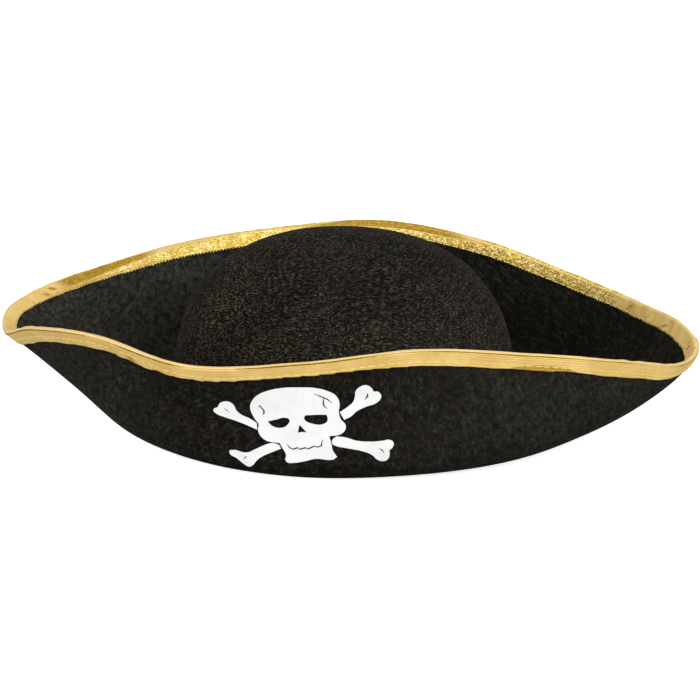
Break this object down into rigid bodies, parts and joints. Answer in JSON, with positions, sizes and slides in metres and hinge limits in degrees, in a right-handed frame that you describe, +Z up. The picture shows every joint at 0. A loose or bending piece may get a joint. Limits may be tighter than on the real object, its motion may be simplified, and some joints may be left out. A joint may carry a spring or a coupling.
{
  "type": "pirate hat",
  "caption": "Black felt pirate hat with a round crown, a brim turned up at front and back, a gold ribbon edge and a white skull and crossbones.",
  "frame": {"origin": "centre of the head opening, on the surface the hat stands on", "axes": "+X to the wearer's left-hand point of the brim, -Y to the front with the emblem, +Z up"},
  "size_m": [0.3745, 0.2496, 0.0975],
  "materials": {
    "crown_felt": "matte",
    "brim_felt": "matte",
    "gold_ribbon": "metallic lurex",
    "gold_thread": "satin",
    "black_thread": "satin",
    "band_fabric": "matte twill",
    "label_satin": "satin",
    "white_film": "satin"
  },
  "bodies": {
    "root": {"crown": "crown_felt", "brim": "brim_felt", "trim_ribbon": "gold_ribbon", "trim_thread_outer": "gold_thread", "trim_thread_inner": "gold_thread", "trim_join_thread": "black_thread", "emblem_skull": "white_film", "emblem_bone_upper_left": "white_film", "emblem_bone_upper_right": "white_film", "emblem_bone_lower_left": "white_film", "emblem_bone_lower_right": "white_film", "crown_seam_thread": "black_thread", "sweatband": "band_fabric", "sweatband_thread": "black_thread", "sweatband_join_thread": "black_thread", "care_label": "label_satin", "care_label_thread": "black_thread"}
  },
  "joints": []
}
